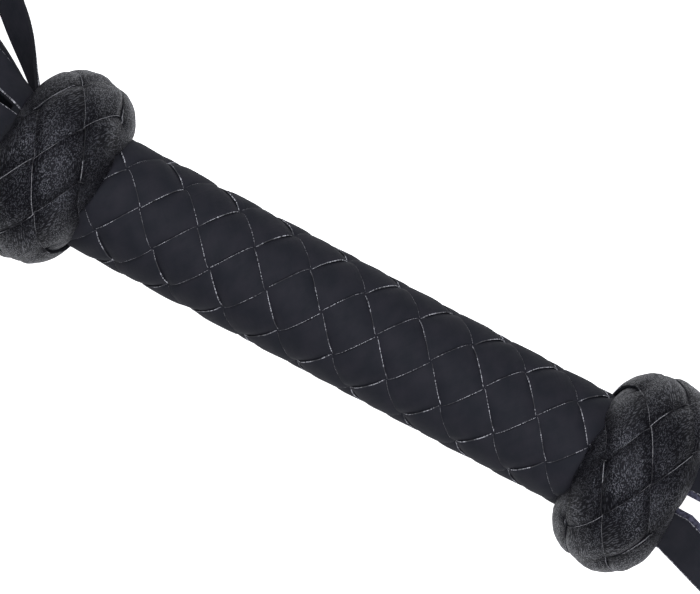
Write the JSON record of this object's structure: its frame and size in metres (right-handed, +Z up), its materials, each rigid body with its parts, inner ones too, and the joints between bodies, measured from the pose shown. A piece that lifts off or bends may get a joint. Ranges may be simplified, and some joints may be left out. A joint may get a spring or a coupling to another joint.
{
  "type": "riding whip",
  "caption": "Short leather hand whip with a plaited handle, a woven knot at each end, flat falls and a hinged wrist loop.",
  "frame": {"origin": "on the inner face of the wrist loop's far end, where the whip hangs; the handle's middle is 243.7 mm along -X and 17.4 mm up from it", "axes": "+X along the handle from the falls towards the wrist loop, +Z up from the table the whip lies on, +Y across"},
  "size_m": [0.6399, 0.3072, 0.0499],
  "materials": {
    "strap": "smooth semi-matt black",
    "knot": "pebble-grained satin black",
    "lining": "matt flesh side, black",
    "thread": "waxed thread, black",
    "wood": "plain turned beech",
    "felt": "pressed felt, grey",
    "steel": "plain nail steel"
  },
  "bodies": {
    "handle": {"core_rod": "wood", "fall_binding": "thread", "fall_shoulder": "strap", "fall_tack_1": "steel", "fall_tack_2": "steel", "fall_tack_3": "steel", "front_bolster": "wood", "front_knot_foundation": "felt", "front_knot_strip": "knot", "front_whipping": "thread", "loop_anchor_left": "strap", "loop_anchor_right": "strap", "loop_pin_left": "steel", "loop_pin_right": "steel", "padding_sleeve": "felt", "plait_strap_left_1": "strap", "plait_strap_left_2": "strap", "plait_strap_left_3": "strap", "plait_strap_left_4": "strap", "plait_strap_left_5": "strap", "plait_strap_right_1": "strap", "plait_strap_right_2": "strap", "plait_strap_right_3": "strap", "plait_strap_right_4": "strap", "plait_strap_right_5": "strap", "rear_bolster": "wood", "rear_knot_foundation": "felt", "rear_knot_strip": "knot", "rear_whipping": "thread"},
    "fall_1": {"fall_1": "strap"},
    "fall_2": {"fall_2": "strap"},
    "fall_3": {"fall_3": "strap"},
    "fall_4": {"fall_4": "strap"},
    "fall_5": {"fall_5": "strap"},
    "fall_6": {"fall_6": "strap"},
    "fall_7": {"fall_7": "strap"},
    "fall_8": {"fall_8": "strap"},
    "wrist_loop": {"loop_outer_strap": "strap", "loop_lining_strap": "lining"}
  },
  "joints": [
    {"name": "fall_1_flex", "type": "hinge", "parent": "handle", "child": "fall_1", "pos_m": [-0.33787, 0.01272, 0.01475], "axis": [0, -0.2079, -0.9781], "range_deg": [0, 32]},
    {"name": "fall_2_flex", "type": "hinge", "parent": "handle", "child": "fall_2", "pos_m": [-0.33787, 0.00708, 0.00655], "axis": [0, -0.8387, -0.5446], "range_deg": [0, 48]},
    {"name": "fall_3_flex", "type": "hinge", "parent": "handle", "child": "fall_3", "pos_m": [-0.33787, 0.0109, 0.02453], "axis": [0, 0.5446, -0.8387], "range_deg": [0, 61]},
    {"name": "fall_4_flex", "type": "hinge", "parent": "handle", "child": "fall_4", "pos_m": [-0.33787, 0.0027, 0.03017], "axis": [0, 0.9781, -0.2079], "range_deg": [0, 70]},
    {"name": "fall_5_flex", "type": "hinge", "parent": "handle", "child": "fall_5", "pos_m": [-0.33787, -0.0027, 0.00473], "axis": [0, -0.9781, 0.2079], "range_deg": [0, 70]},
    {"name": "fall_6_flex", "type": "hinge", "parent": "handle", "child": "fall_6", "pos_m": [-0.33787, -0.00708, 0.02835], "axis": [0, 0.8387, 0.5446], "range_deg": [0, 60]},
    {"name": "fall_7_flex", "type": "hinge", "parent": "handle", "child": "fall_7", "pos_m": [-0.33787, -0.0109, 0.01037], "axis": [0, -0.5446, 0.8387], "range_deg": [0, 47]},
    {"name": "fall_8_flex", "type": "hinge", "parent": "handle", "child": "fall_8", "pos_m": [-0.33787, -0.01272, 0.02015], "axis": [0, 0.2079, 0.9781], "range_deg": [0, 34]},
    {"name": "wrist_loop_flex", "type": "hinge", "parent": "handle", "child": "wrist_loop", "pos_m": [-0.14866, 0, 0.01745], "axis": [0, 1, 0], "range_deg": [-70, 70]}
  ]
}
